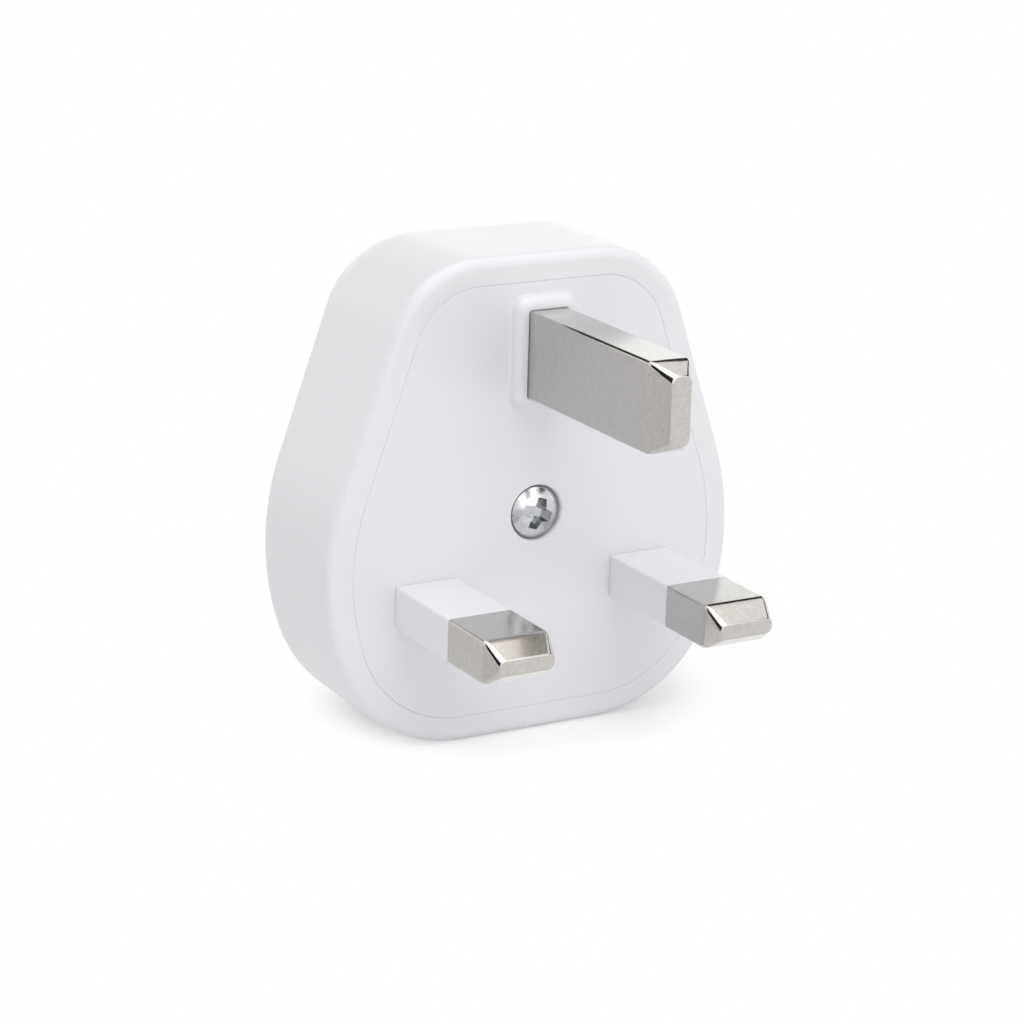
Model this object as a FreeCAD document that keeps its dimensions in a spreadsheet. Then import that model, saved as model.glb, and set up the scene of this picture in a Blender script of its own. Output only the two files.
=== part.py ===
"""White rewireable three-pin plug: a cover, a flush base that carries the pins, and the wiring parts inside.

Millimetres. +Z is up, the pins point along -Y, and the plug stands on the flat end with the cord entry.
Each body is drawn from the engagement face, at local y = 0, with the inside of the plug at positive y.
"""
import FreeCAD, Part
import math
import os
import Sketcher

Vector = FreeCAD.Vector

SIZES = {
    # Pins, from the standard pattern
    "pin_line": 13.9,
    "pin_spacing": 22.23,
    "earth_rise": 22.23,
    "line_width": 6.35,
    "line_height": 4.0,
    "line_reach": 18.2,
    "earth_width": 4.0,
    "earth_height": 8.0,
    "earth_reach": 23.2,
    "pin_edge": 0.2,
    "tip_length": 1.9,
    "line_tip_side": 0.45,
    "line_tip_drop": 1.3,
    "earth_tip_side": 1.0,
    "earth_tip_drop": 0.9,
    "sleeve_reach": 9.9,
    "sleeve_root": 2.2,
    "sleeve_wall": 0.8,
    "sleeve_fit": 0.02,
    # Outline of the cover, seen from the pin side: margins beyond the pins, and how the sides swell and lean
    "top_margin": 4.77,
    "side_margin": 6.61,
    "widest_height": 16.85,
    "side_radius": 25.3,
    "side_lean": 19.0,
    "top_corner": 9.05,
    "bottom_corner": 13.05,
    # Depth of the cover: straight walls, then three slopes that close the back
    "wall_depth": 12.2,
    "first_slope_depth": 3.6,
    "first_slope_inset": 1.35,
    "second_slope_depth": 2.4,
    "second_slope_inset": 2.75,
    "third_slope_inset": 3.1,
    "body_depth": 19.4,
    "front_bevel": 0.6,
    "cover_wall": 3.2,
    "back_wall": 2.6,
    "hollow_taper": 2.4,
    # Base
    "rim_width": 2.43,
    "seam_gap": 0.12,
    "base_thickness": 3.0,
    "pin_hole_fit": 0.05,
    "collar_width": 1.3,
    "collar_rise": 1.2,
    "collar_bevel": 0.45,
    # Blocks on the inner ends of the pins, and the nests that hold them on the base
    "block_depth": 7.0,
    "block_side": 0.5,
    "block_round": 0.6,
    "neutral_block_up": 5.0,
    "neutral_block_down": 3.0,
    "earth_block_width": 7.4,
    "earth_block_up": 4.3,
    "earth_block_down": 4.2,
    "wire_hole": 1.2,
    "wire_depth": 3.2,
    "nest_wall": 0.9,
    "nest_rise": 1.2,
    "nest_fit": 0.1,
    # Live foot, fuse and clips
    "foot_thickness": 2.2,
    "foot_width": 7.8,
    "foot_down": 5.4,
    "foot_shift": 0.8,
    "fuse_shift": 1.665,
    "fuse_rise": 0.7,
    "fuse_length": 25.4,
    "fuse_radius": 3.175,
    "fuse_cap_length": 6.2,
    "fuse_cap_wall": 0.3,
    "fuse_tube_fit": 0.02,
    "clip_thickness": 0.6,
    "clip_fit": 0.03,
    "clip_width": 4.4,
    "clip_inset": 1.4,
    "clip_opening": 50.0,
    "clip_strip": 5.0,
    "rivet_radius": 1.1,
    "rivet_head_radius": 1.6,
    "rivet_rise": 0.2,
    "rivet_fit": 0.02,
    "rivet_gap": 0.1,
    # Live terminal
    "terminal_width": 4.4,
    "terminal_height": 5.0,
    "terminal_depth": 6.0,
    "terminal_side_gap": 0.15,
    "terminal_gap": 0.75,
    "terminal_screw_rise": 2.0,
    "spigot_radius": 0.8,
    "spigot_edge": 0.25,
    "spigot_fit": 0.02,
    # Terminal screws
    "terminal_screw_radius": 1.25,
    "terminal_screw_length": 3.2,
    "terminal_head_radius": 2.0,
    "terminal_head_height": 1.3,
    "terminal_head_gap": 0.4,
    "slot_width": 0.7,
    "slot_depth": 0.7,
    "thread_fit": 0.03,
    # Cover screw, its washer and the insert in the cover
    "screw_drop": 15.18,
    "screw_radius": 1.7,
    "screw_length": 10.5,
    "head_radius": 2.4,
    "head_rim": 0.9,
    "head_dome": 0.9,
    "head_recess_radius": 2.6,
    "head_recess_depth": 1.2,
    "cross_span": 3.1,
    "cross_width": 0.75,
    "cross_depth": 1.3,
    "shank_hole": 1.95,
    "base_boss_radius": 3.6,
    "base_boss_rise": 2.0,
    "boss_radius": 4.0,
    "boss_gap": 0.1,
    "washer_radius": 2.9,
    "washer_thickness": 0.5,
    "washer_room": 0.2,
    "insert_radius": 2.6,
    "insert_length": 6.5,
    "insert_fit": 0.02,
    # Cord entry and cord grip
    "entry_depth": 7.0,
    "entry_radius": 3.7,
    "entry_bevel": 0.4,
    "grip_gap": 0.5,
    "grip_height": 4.2,
    "grip_span": 19.0,
    "grip_radius": 3.4,
    "grip_wall": 1.4,
    "grip_ear": 2.2,
    "grip_screw_across": 7.2,
    "grip_screw_radius": 1.3,
    "grip_screw_length": 5.4,
    "grip_head_radius": 1.95,
    "grip_head_height": 1.5,
    "grip_hole_fit": 0.15,
    # Ribs of the cover that hold the pins and the fuse down
    "post_width": 3.0,
    "post_gap": 0.1,
    "post_root": 0.4,
    "stop_rise": 4.1,
}
AGREES = 0.01
LEAST_CUT = 1e-6


def size_sheet(doc):
    """The spreadsheet with one named cell for each driving dimension."""
    sheet = doc.addObject("Spreadsheet::Sheet", "Sizes")
    for row, (alias, number) in enumerate(SIZES.items(), start=1):
        sheet.set(f"A{row}", alias)
        sheet.set(f"B{row}", str(number))
        sheet.setAlias(f"B{row}", alias)
    doc.recompute()
    return sheet


def rule(text):
    """A rule in plain size names, written with the sheet's name before each of them."""
    words = []
    for word in text.replace("(", " ( ").replace(")", " ) ").split():
        words.append(f"Sizes.{word}" if word in SIZES else word)
    return " ".join(words)


def amount(doc, text):
    """The number that a rule gives now."""
    found = doc.getObject("Sizes").evalExpression(rule(text))
    return float(getattr(found, "Value", found))


# Places that several bodies share, as rules in size names
FACE_PLACE = "( earth_reach - body_depth ) / 2"
EARTH_LINE = "pin_line + earth_rise"
BODY_TOP = f"{EARTH_LINE} + earth_height / 2 + top_margin"
BODY_HALF = "pin_spacing / 2 + line_width / 2 + side_margin"
SCREW_HEIGHT = f"{EARTH_LINE} - screw_drop"
BACK_STEPS = [
    ("wall_depth", "0"),
    ("wall_depth + first_slope_depth", "first_slope_inset"),
    ("wall_depth + first_slope_depth + second_slope_depth", "first_slope_inset + second_slope_inset"),
    ("body_depth", "first_slope_inset + second_slope_inset + third_slope_inset"),
]
INNER_BACK = "body_depth - back_wall"
FOOT_TOP = "base_thickness + foot_thickness"
BLOCK_BACK = "base_thickness + block_depth"
BASE_BOSS_END = "base_thickness + base_boss_rise"
COVER_BOSS_START = f"{BASE_BOSS_END} + boss_gap"
GRIP_BOTTOM = "cover_wall + grip_gap"
CLIP_RADIUS = "fuse_radius + clip_fit + clip_thickness"
STRIP_FRONT = f"-1 * ( {CLIP_RADIUS} )"
FUSE_ACROSS = "pin_spacing / 2 - fuse_shift"
FUSE_DEPTH = f"{FOOT_TOP} + {CLIP_RADIUS}"
FUSE_BOTTOM = f"{GRIP_BOTTOM} + grip_height + fuse_rise"
LOWER_CLIP = f"{FUSE_BOTTOM} + clip_inset"
UPPER_CLIP = f"{FUSE_BOTTOM} + fuse_length - clip_inset - clip_width"
LOWER_RIVET = f"{FUSE_BOTTOM} + fuse_cap_length + rivet_head_radius + rivet_gap"
FOOT_HIGH = f"{LOWER_RIVET} + rivet_head_radius + rivet_gap"
TERMINAL_ACROSS = f"{FUSE_ACROSS} - ( {CLIP_RADIUS} ) - terminal_side_gap - terminal_width / 2"
TERMINAL_LOW = f"{SCREW_HEIGHT} + boss_radius + terminal_gap"
TERMINAL_BACK = f"{FOOT_TOP} + clip_thickness + terminal_depth"
SPIGOT_AT = f"{TERMINAL_LOW} + terminal_height - spigot_radius - spigot_edge"


def new_body(doc, label, across="0", depth="0", height="0"):
    """A body at its own place: across and height in the plug, depth behind the engagement face."""
    body = doc.addObject("PartDesign::Body", label)
    body.Label = label
    body.setExpression("Placement.Base.x", rule(across))
    body.setExpression("Placement.Base.y", rule(f"{FACE_PLACE} + {depth}"))
    body.setExpression("Placement.Base.z", rule(height))
    return body


def new_sketch(body, name, role="XZ_Plane", depth="0"):
    """A sketch on one of the body's origin planes, moved along +Y (or +Z on the XY plane) by a rule."""
    sketch = body.newObject("Sketcher::SketchObject", name)
    plane = [item for item in body.Origin.OriginFeatures if item.Role == role][0]
    sketch.AttachmentSupport = [(plane, "")]
    sketch.MapMode = "FlatFace"
    sign = "-1" if role == "XZ_Plane" else "1"
    sketch.setExpression("AttachmentOffset.Base.z", rule(f"{sign} * ( {depth} )"))
    return sketch


def bind(sketch, kind, places, text):
    """A dimension of a sketch that follows a rule."""
    now = amount(sketch.Document, text)
    if kind == "Angle":
        now = math.radians(now)
    index = sketch.addConstraint(Sketcher.Constraint(kind, *places, now))
    sketch.setExpression(f"Constraints[{index}]", rule(text))


def close_run(sketch, first, count):
    """Joins each line of a run to the next one, and the last to the first."""
    for index in range(count):
        following = first + (index + 1) % count
        sketch.addConstraint(Sketcher.Constraint("Coincident", first + index, 2, following, 1))


def rectangle(sketch, across, height, wide, tall):
    """A rectangle about a centre, all four given as rules."""
    doc = sketch.Document
    centre = Vector(amount(doc, across), amount(doc, height), 0)
    half = Vector(amount(doc, wide) / 2, amount(doc, tall) / 2, 0)
    turns = [(-1, -1), (1, -1), (1, 1), (-1, 1)]
    corners = [centre + Vector(half.x * a, half.y * b, 0) for a, b in turns]
    first = sketch.GeometryCount
    for index in range(4):
        sketch.addGeometry(Part.LineSegment(corners[index], corners[(index + 1) % 4]))
    close_run(sketch, first, 4)
    for index, way in enumerate(["Horizontal", "Vertical", "Horizontal", "Vertical"]):
        sketch.addConstraint(Sketcher.Constraint(way, first + index))
    bind(sketch, "DistanceX", (first, 1, first, 2), wide)
    bind(sketch, "DistanceY", (first + 1, 1, first + 1, 2), tall)
    bind(sketch, "DistanceX", (-1, 1, first, 1), f"{across} - ( {wide} ) / 2")
    bind(sketch, "DistanceY", (-1, 1, first, 1), f"{height} - ( {tall} ) / 2")


def circle(sketch, across, height, radius):
    """A circle about a centre, all three given as rules."""
    doc = sketch.Document
    centre = Vector(amount(doc, across), amount(doc, height), 0)
    index = sketch.addGeometry(Part.Circle(centre, Vector(0, 0, 1), amount(doc, radius)))
    bind(sketch, "Radius", (index,), radius)
    bind(sketch, "DistanceX", (-1, 1, index, 3), across)
    bind(sketch, "DistanceY", (-1, 1, index, 3), height)


def polygon(sketch, corners):
    """A closed run of straight lines whose corners are pairs of rules."""
    doc = sketch.Document
    points = [Vector(amount(doc, across), amount(doc, up), 0) for across, up in corners]
    first = sketch.GeometryCount
    count = len(corners)
    for index in range(count):
        sketch.addGeometry(Part.LineSegment(points[index], points[(index + 1) % count]))
    close_run(sketch, first, count)
    for index, (across, up) in enumerate(corners):
        bind(sketch, "DistanceX", (-1, 1, first + index, 1), across)
        bind(sketch, "DistanceY", (-1, 1, first + index, 1), up)


def outline(sketch, inset):
    """The plug's outline moved inwards by a rule: every arc keeps its centre and gives up the inset.

    A flat top and bottom, two leaning sides that swell in a wide arc, and rounded corners between them.
    """
    doc = sketch.Document
    step = amount(doc, inset)
    lean = math.radians(amount(doc, "side_lean"))
    top = amount(doc, BODY_TOP)
    side = amount(doc, "side_radius")
    upper = amount(doc, "top_corner")
    lower = amount(doc, "bottom_corner")
    side_at = Vector(amount(doc, BODY_HALF) - side, amount(doc, "widest_height"), 0)
    upper_x = side_at.x + (side - upper - (top - upper - side_at.y) * math.sin(lean)) / math.cos(lean)
    upper_at = Vector(upper_x, top - upper, 0)
    fall = lower - side_at.y
    lower_at = Vector(side_at.x + math.sqrt((side - lower) ** 2 - fall ** 2), lower, 0)
    low = math.atan2(lower_at.y - side_at.y, lower_at.x - side_at.x)

    def mirrored(point):
        return Vector(-point.x, point.y, 0)

    def arc(centre, radius, start, end):
        ring = Part.Circle(centre, Vector(0, 0, 1), radius - step)
        return sketch.addGeometry(Part.ArcOfCircle(ring, start, end))

    def on(centre, radius, angle):
        return centre + Vector(math.cos(angle), math.sin(angle), 0) * (radius - step)

    def line(start, end):
        return sketch.addGeometry(Part.LineSegment(start, end))

    quarter = math.pi / 2
    half = math.pi
    upper_left, side_left, lower_left = (mirrored(point) for point in (upper_at, side_at, lower_at))
    top_right = arc(upper_at, upper, lean, quarter)
    top_line = line(on(upper_at, upper, quarter), on(upper_left, upper, quarter))
    top_left = arc(upper_left, upper, quarter, half - lean)
    left_line = line(on(side_left, side, half - lean), on(upper_left, upper, half - lean))
    left_side = arc(side_left, side, half - lean, half - low)
    low_left = arc(lower_left, lower, half - low, half + quarter)
    low_line = line(on(lower_left, lower, -quarter), on(lower_at, lower, -quarter))
    low_right = arc(lower_at, lower, -quarter, low)
    right_side = arc(side_at, side, low, lean)
    right_line = line(on(side_at, side, lean), on(upper_at, upper, lean))
    joins = [
        (top_right, 2, top_line, 1), (top_line, 2, top_left, 1), (top_left, 2, left_line, 2),
        (left_line, 1, left_side, 1), (left_side, 2, low_left, 1), (low_left, 2, low_line, 1),
        (low_line, 2, low_right, 1), (low_right, 2, right_side, 1), (right_side, 2, right_line, 1),
        (right_line, 2, top_right, 1),
    ]
    for join in joins:
        sketch.addConstraint(Sketcher.Constraint("Tangent", *join))
    sketch.addConstraint(Sketcher.Constraint("Horizontal", top_line))
    sketch.addConstraint(Sketcher.Constraint("Horizontal", low_line))
    for corner in (top_right, top_left):
        bind(sketch, "Radius", (corner,), f"top_corner - ( {inset} )")
    for corner in (low_left, low_right):
        bind(sketch, "Radius", (corner,), f"bottom_corner - ( {inset} )")
    for swell in (left_side, right_side):
        bind(sketch, "Radius", (swell,), f"side_radius - ( {inset} )")
        bind(sketch, "DistanceY", (-1, 1, swell, 3), "widest_height")
    bind(sketch, "DistanceX", (right_side, 3, -1, 1), f"side_radius - ( {BODY_HALF} )")
    bind(sketch, "DistanceX", (-1, 1, left_side, 3), f"side_radius - ( {BODY_HALF} )")
    bind(sketch, "Angle", (right_line,), "90 + side_lean")
    bind(sketch, "Angle", (left_line,), "90 - side_lean")
    bind(sketch, "DistanceY", (-1, 1, top_line, 1), f"{BODY_TOP} - ( {inset} )")
    bind(sketch, "DistanceY", (-1, 1, low_line, 1), inset)


def pad(body, sketch, name, length, inward=True):
    """Material along +Y from an XZ sketch, or along -Y when not inward."""
    feature = body.newObject("PartDesign::Pad", name)
    feature.Profile = sketch
    feature.setExpression("Length", rule(length))
    feature.Reversed = inward
    sketch.Visibility = False
    body.Document.recompute()
    return feature


def pocket(body, sketch, name, length, inward=True):
    """A cut along +Y from an XZ sketch, or along -Y when not inward; it has to take material away."""
    before = body.Shape.Volume
    feature = body.newObject("PartDesign::Pocket", name)
    feature.Profile = sketch
    feature.setExpression("Length", rule(length))
    feature.Reversed = not inward
    body.Document.recompute()
    if body.Shape.Volume > before - LEAST_CUT:
        raise RuntimeError(f"{body.Label}: {name} cuts nothing")
    return feature


def loft(body, name, kind, first, last):
    """A straight-sided loft between two sketches, added or taken away."""
    feature = body.newObject(f"PartDesign::{kind}", name)
    feature.Profile = first
    feature.Sections = [last]
    feature.Ruled = True
    body.Document.recompute()
    return feature


def slope(body, name, kind, steps):
    """A loft between the outline at two steps, each a depth and an inset."""
    sections = []
    for end, (depth, inset) in zip(("start", "end"), steps):
        section = new_sketch(body, f"{name}_{end}", depth=depth)
        outline(section, inset)
        sections.append(section)
    return loft(body, name, kind, *sections)


def revolve(body, sketch, name):
    """A full turn of an XY sketch about the body's own Y axis."""
    feature = body.newObject("PartDesign::Revolution", name)
    feature.Profile = sketch
    feature.ReferenceAxis = (sketch, ["V_Axis"])
    feature.Angle = 360
    body.Document.recompute()
    return feature


def edges_where(body, test):
    """Names of the body's present edges that pass a test of their bounding box."""
    edges = body.Tip.Shape.Edges
    return [f"Edge{index}" for index, edge in enumerate(edges, start=1) if test(edge.BoundBox)]


def ease_edges(body, name, kind, size, test):
    """A fillet or a chamfer on the edges that pass a test; the size is the radius or the chamfer's leg."""
    base = body.Tip
    names = edges_where(body, test)
    if not names:
        raise RuntimeError(f"{body.Label}: {name} finds no edge")
    feature = body.newObject(f"PartDesign::{kind}", name)
    feature.Base = (base, names)
    feature.setExpression("Radius" if kind == "Fillet" else "Size", rule(size))
    body.Document.recompute()
    return feature


def round_edges(body, name, radius, test):
    """A fillet on the edges that pass a test."""
    return ease_edges(body, name, "Fillet", radius, test)


def bevel_edges(body, name, leg, test):
    """A chamfer on the edges that pass a test."""
    return ease_edges(body, name, "Chamfer", leg, test)


def near(first, second):
    """Whether two lengths agree."""
    return abs(first - second) < AGREES


def flat_at(depth):
    """A test for edges that lie in the plane at a depth."""
    return lambda box: near(box.YMin, depth) and near(box.YMax, depth)


def along_depth(box):
    """Whether an edge runs straight along Y."""
    return box.YLength > AGREES and box.XLength < AGREES and box.ZLength < AGREES


def runs_from(depth):
    """A test for edges that run straight along Y from a depth, their end nearest the socket."""
    return lambda box: along_depth(box) and near(box.YMin, depth)


def runs_to(depth):
    """A test for edges that run straight along Y up to a depth behind the face."""
    return lambda box: along_depth(box) and near(box.YMax, depth)


def cover(doc):
    """The moulded cover: a rimmed shell with a sloping back, cord entry, screw boss and hold-down posts."""
    body = new_body(doc, "cover")
    wall = new_sketch(body, "cover_wall_outline")
    outline(wall, "0")
    pad(body, wall, "cover_sides", "wall_depth")
    bevel_edges(body, "cover_front_bevel", "front_bevel", flat_at(0))
    for index, steps in enumerate(zip(BACK_STEPS, BACK_STEPS[1:]), start=1):
        slope(body, f"back_slope_{index}", "AdditiveLoft", steps)

    rebate = new_sketch(body, "base_rebate_outline")
    outline(rebate, "rim_width")
    pocket(body, rebate, "base_rebate", "base_thickness")
    hollow = new_sketch(body, "hollow_outline")
    outline(hollow, "cover_wall")
    pocket(body, hollow, "hollow", "wall_depth")
    inner_steps = [("wall_depth", "cover_wall"), (INNER_BACK, "cover_wall + hollow_taper")]
    slope(body, "hollow_slope", "SubtractiveLoft", inner_steps)

    cover_boss(body)
    cover_posts(body)
    cord_entry(body)
    return body


def cover_boss(body):
    """The boss that takes the threaded insert, standing forward from the inner back."""
    boss = new_sketch(body, "boss_circle", depth=COVER_BOSS_START)
    circle(boss, "0", SCREW_HEIGHT, "boss_radius")
    pad(body, boss, "boss", f"{INNER_BACK} - ( {COVER_BOSS_START} ) + post_root")
    room = new_sketch(body, "washer_room_circle", depth=COVER_BOSS_START)
    circle(room, "0", SCREW_HEIGHT, "washer_radius + washer_room")
    pocket(body, room, "washer_room_cut", "washer_thickness + washer_room")
    hole = new_sketch(body, "insert_hole_circle", depth=COVER_BOSS_START)
    circle(hole, "0", SCREW_HEIGHT, "insert_radius + insert_fit")
    pocket(body, hole, "insert_hole", "washer_thickness + washer_room + insert_length")


def cover_posts(body):
    """Posts that press the pin blocks into the base, and the stop that keeps the fuse in its clips."""
    posts = new_sketch(body, "post_shapes", depth=f"{BLOCK_BACK} + post_gap")
    thin = "post_width / 2"
    rectangle(posts, "pin_spacing / 2", f"pin_line - neutral_block_down + {thin}", "post_width", thin)
    rectangle(posts, "0", f"{EARTH_LINE} + earth_block_up - {thin} / 2", "post_width", thin)
    pad(body, posts, "posts", f"{INNER_BACK} - ( {BLOCK_BACK} ) - post_gap + post_root")
    stop = new_sketch(body, "fuse_stop_shape", depth=f"{FUSE_DEPTH} + fuse_radius + post_gap")
    rectangle(stop, f"-1 * ( {FUSE_ACROSS} )", "pin_line + stop_rise", "post_width", thin)
    pad(body, stop, "fuse_stop", f"{INNER_BACK} - ( {FUSE_DEPTH} ) - fuse_radius - post_gap + post_root")


def cord_entry(body):
    """The round cord entry through the bottom wall, with an eased outer edge."""
    entry = new_sketch(body, "entry_circle", "XY_Plane")
    circle(entry, "0", "entry_depth", "entry_radius")
    pocket(body, entry, "entry_hole", "cover_wall + post_root", inward=False)
    wide = amount(body.Document, "2 * entry_radius")
    bevel_edges(body, "entry_edge", "entry_bevel",
                lambda box: near(box.ZMin, 0) and near(box.ZMax, 0) and near(box.XLength, wide))


def base(doc):
    """The flush base that carries the pins: an earth collar, a screw recess and what its inside holds."""
    body = new_body(doc, "base")
    plate = new_sketch(body, "plate_outline")
    outline(plate, "rim_width + seam_gap")
    pad(body, plate, "plate", "base_thickness")

    collar = new_sketch(body, "collar_shape")
    rectangle(collar, "0", EARTH_LINE, "earth_width + 2 * collar_width", "earth_height + 2 * collar_width")
    pad(body, collar, "collar", "collar_rise", inward=False)
    collar_end = amount(doc, "-1 * collar_rise")
    round_edges(body, "collar_corners", "collar_width", runs_from(collar_end))
    bevel_edges(body, "collar_edge", "collar_bevel", flat_at(collar_end))

    base_inside(body)

    openings = new_sketch(body, "pin_openings", depth="-1 * collar_rise")
    for side in ("-1", "1"):
        rectangle(openings, f"{side} * pin_spacing / 2", "pin_line",
                  "line_width + 2 * pin_hole_fit", "line_height + 2 * pin_hole_fit")
    rectangle(openings, "0", EARTH_LINE, "earth_width + 2 * pin_hole_fit", "earth_height + 2 * pin_hole_fit")
    pocket(body, openings, "pin_openings_cut", "base_thickness + collar_rise")
    recess = new_sketch(body, "screw_recess")
    circle(recess, "0", SCREW_HEIGHT, "head_recess_radius")
    pocket(body, recess, "screw_recess_cut", "head_recess_depth")
    shank = new_sketch(body, "screw_hole")
    circle(shank, "0", SCREW_HEIGHT, "shank_hole")
    pocket(body, shank, "screw_hole_cut", BASE_BOSS_END)
    return body


def base_inside(body):
    """What stands on the inner face of the base: screw boss, nests for the blocks, plinth and cord saddle."""
    boss = new_sketch(body, "screw_boss_circle", depth="base_thickness")
    circle(boss, "0", SCREW_HEIGHT, "base_boss_radius")
    pad(body, boss, "screw_boss", "base_boss_rise")

    nests(body)
    plinth(body)
    cord_saddle(body)


def nests(body):
    """The walls on the base that keep the neutral and earth blocks from turning."""
    walls = new_sketch(body, "nest_shapes", depth="base_thickness")
    neutral_mid = "pin_line + ( neutral_block_up - neutral_block_down ) / 2"
    earth_mid = f"{EARTH_LINE} + ( earth_block_up - earth_block_down ) / 2"
    neutral_tall = "neutral_block_up + neutral_block_down"
    earth_tall = "earth_block_up + earth_block_down"
    blocks = [
        ("pin_spacing / 2", neutral_mid, "line_width + 2 * block_side", neutral_tall),
        ("0", earth_mid, "earth_block_width", earth_tall),
    ]
    for across, height, wide, tall in blocks:
        for spread in ("2 * nest_fit + 2 * nest_wall", "2 * nest_fit"):
            rectangle(walls, across, height, f"{wide} + {spread}", f"{tall} + {spread}")
    pad(body, walls, "nests", "nest_rise")


def plinth(body):
    """The step under the upper fuse clip and the live terminal, relieved for the terminal's spigot."""
    step = new_sketch(body, "plinth_shape", depth="base_thickness")
    left = f"-1 * ( {FUSE_ACROSS} + fuse_radius )"
    right = f"terminal_width / 2 - ( {TERMINAL_ACROSS} )"
    across = f"( {right} + {left} ) / 2"
    height = f"{TERMINAL_LOW} + terminal_height / 2"
    rectangle(step, across, height, f"{right} - ( {left} )", "terminal_height")
    pad(body, step, "plinth", "foot_thickness")
    relief = new_sketch(body, "spigot_relief", depth=FOOT_TOP)
    circle(relief, f"-1 * ( {TERMINAL_ACROSS} )", SPIGOT_AT, "rivet_head_radius + spigot_fit")
    pocket(body, relief, "spigot_relief_cut", "rivet_rise + spigot_fit", inward=False)


def cord_saddle(body):
    """The grooved block under the cord, with a hole each side for the cord grip's screws."""
    saddle = new_sketch(body, "saddle_shape", depth="base_thickness")
    middle = f"{GRIP_BOTTOM} + grip_height / 2"
    rectangle(saddle, "0", middle, "grip_span", "grip_height")
    pad(body, saddle, "saddle", "entry_depth - base_thickness")
    trough = new_sketch(body, "saddle_trough_circle", "XY_Plane", depth=f"{GRIP_BOTTOM} + grip_height")
    circle(trough, "0", "entry_depth", "grip_radius")
    pocket(body, trough, "saddle_trough", "grip_height")
    holes = new_sketch(body, "grip_screw_holes", depth="entry_depth")
    for side in ("-1", "1"):
        circle(holes, f"{side} * grip_screw_across", middle, "grip_screw_radius + thread_fit")
    pocket(body, holes, "grip_screw_holes_cut", "grip_screw_length - grip_ear + thread_fit", inward=False)


def tapered_tip(body, wide, tall, reach, side, drop):
    """The pin's end, where all four faces slope in to a smaller end face."""
    tip = body.newObject("PartDesign::AdditiveWedge", "tip")
    limits = {
        "Y": (reach, f"{reach} - tip_length"),
        "X": (f"{wide} / 2 - {side}", f"{side} - {wide} / 2"),
        "Z": (f"{tall} / 2 - {drop}", f"{drop} - {tall} / 2"),
        "X2": (f"{wide} / 2", f"-1 * {wide} / 2"),
        "Z2": (f"{tall} / 2", f"-1 * {tall} / 2"),
    }
    for axis, (low, high) in limits.items():
        tip.setExpression(f"{axis}min", rule(f"-1 * ( {low} )"))
        tip.setExpression(f"{axis}max", rule(f"-1 * ( {high} )"))
    body.Document.recompute()


def sleeved_pin(doc, label, across):
    """A line or neutral pin: full section at its end and in the base, and a thinner neck under the sleeve."""
    body = new_body(doc, label, across=across, height="pin_line")
    end = new_sketch(body, "contact_shape", depth="-1 * ( sleeve_reach + sleeve_fit )")
    rectangle(end, "0", "0", "line_width", "line_height")
    pad(body, end, "contact", "line_reach - sleeve_reach - sleeve_fit - tip_length", inward=False)
    tapered_tip(body, "line_width", "line_height", "line_reach", "line_tip_side", "line_tip_drop")
    neck = new_sketch(body, "neck_shape", depth="-1 * ( sleeve_reach + sleeve_fit )")
    inner = "2 * ( sleeve_wall + sleeve_fit )"
    rectangle(neck, "0", "0", f"line_width - {inner}", f"line_height - {inner}")
    pad(body, neck, "neck", "sleeve_reach + 2 * sleeve_fit + sleeve_root")
    root = new_sketch(body, "root_shape", depth="sleeve_root + sleeve_fit")
    rectangle(root, "0", "0", "line_width", "line_height")
    pad(body, root, "root", "base_thickness - sleeve_root - sleeve_fit")
    bevel_edges(body, "pin_edges", "pin_edge", runs_from(amount(doc, "tip_length - line_reach")))
    return body


def terminal_block(body, across, height, wide, tall):
    """The block of a terminal behind the base, with the corners of its far end taken off."""
    block = new_sketch(body, "block_shape", depth="base_thickness")
    mid = f"( {height} ) + ( {tall} ) / 2"
    rectangle(block, across, mid, wide, tall)
    pad(body, block, "block", "block_depth")
    bevel_edges(body, "block_corners", "block_round", runs_to(amount(body.Document, BLOCK_BACK)))


def neutral_pin(doc):
    """The neutral pin with its terminal block above the pin's own line."""
    body = sleeved_pin(doc, "neutral_pin", "pin_spacing / 2")
    tall = "neutral_block_up + neutral_block_down"
    terminal_block(body, "0", "-1 * neutral_block_down", "line_width + 2 * block_side", tall)
    screw_at = "neutral_block_up - wire_hole - block_side"
    terminal_holes(body, "0", "-1 * neutral_block_down", screw_at, BLOCK_BACK)
    return body


def terminal_holes(body, across, low, screw_at, back):
    """The wire hole up from the block's lower end, and the screw hole that meets it from the back."""
    wire = new_sketch(body, "wire_hole_circle", "XY_Plane", depth=low)
    circle(wire, across, f"{back} - wire_depth - wire_hole", "wire_hole")
    pocket(body, wire, "wire_hole_cut", f"( {screw_at} ) - ( {low} ) + wire_hole", inward=False)
    screw = new_sketch(body, "screw_hole_circle", depth=back)
    circle(screw, across, screw_at, "terminal_screw_radius + thread_fit")
    pocket(body, screw, "screw_hole_cut", "wire_depth + wire_hole", inward=False)


def earth_pin(doc):
    """The solid earth pin with its terminal block."""
    body = new_body(doc, "earth_pin", height=EARTH_LINE)
    bar = new_sketch(body, "bar_shape", depth="base_thickness")
    rectangle(bar, "0", "0", "earth_width", "earth_height")
    pad(body, bar, "bar", "base_thickness + earth_reach - tip_length", inward=False)
    tapered_tip(body, "earth_width", "earth_height", "earth_reach", "earth_tip_side", "earth_tip_drop")
    bevel_edges(body, "pin_edges", "pin_edge", runs_from(amount(doc, "tip_length - earth_reach")))
    tall = "earth_block_up + earth_block_down"
    terminal_block(body, "0", "-1 * earth_block_down", "earth_block_width", tall)
    terminal_holes(body, "0", "-1 * earth_block_down", "0", BLOCK_BACK)
    return body


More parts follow.
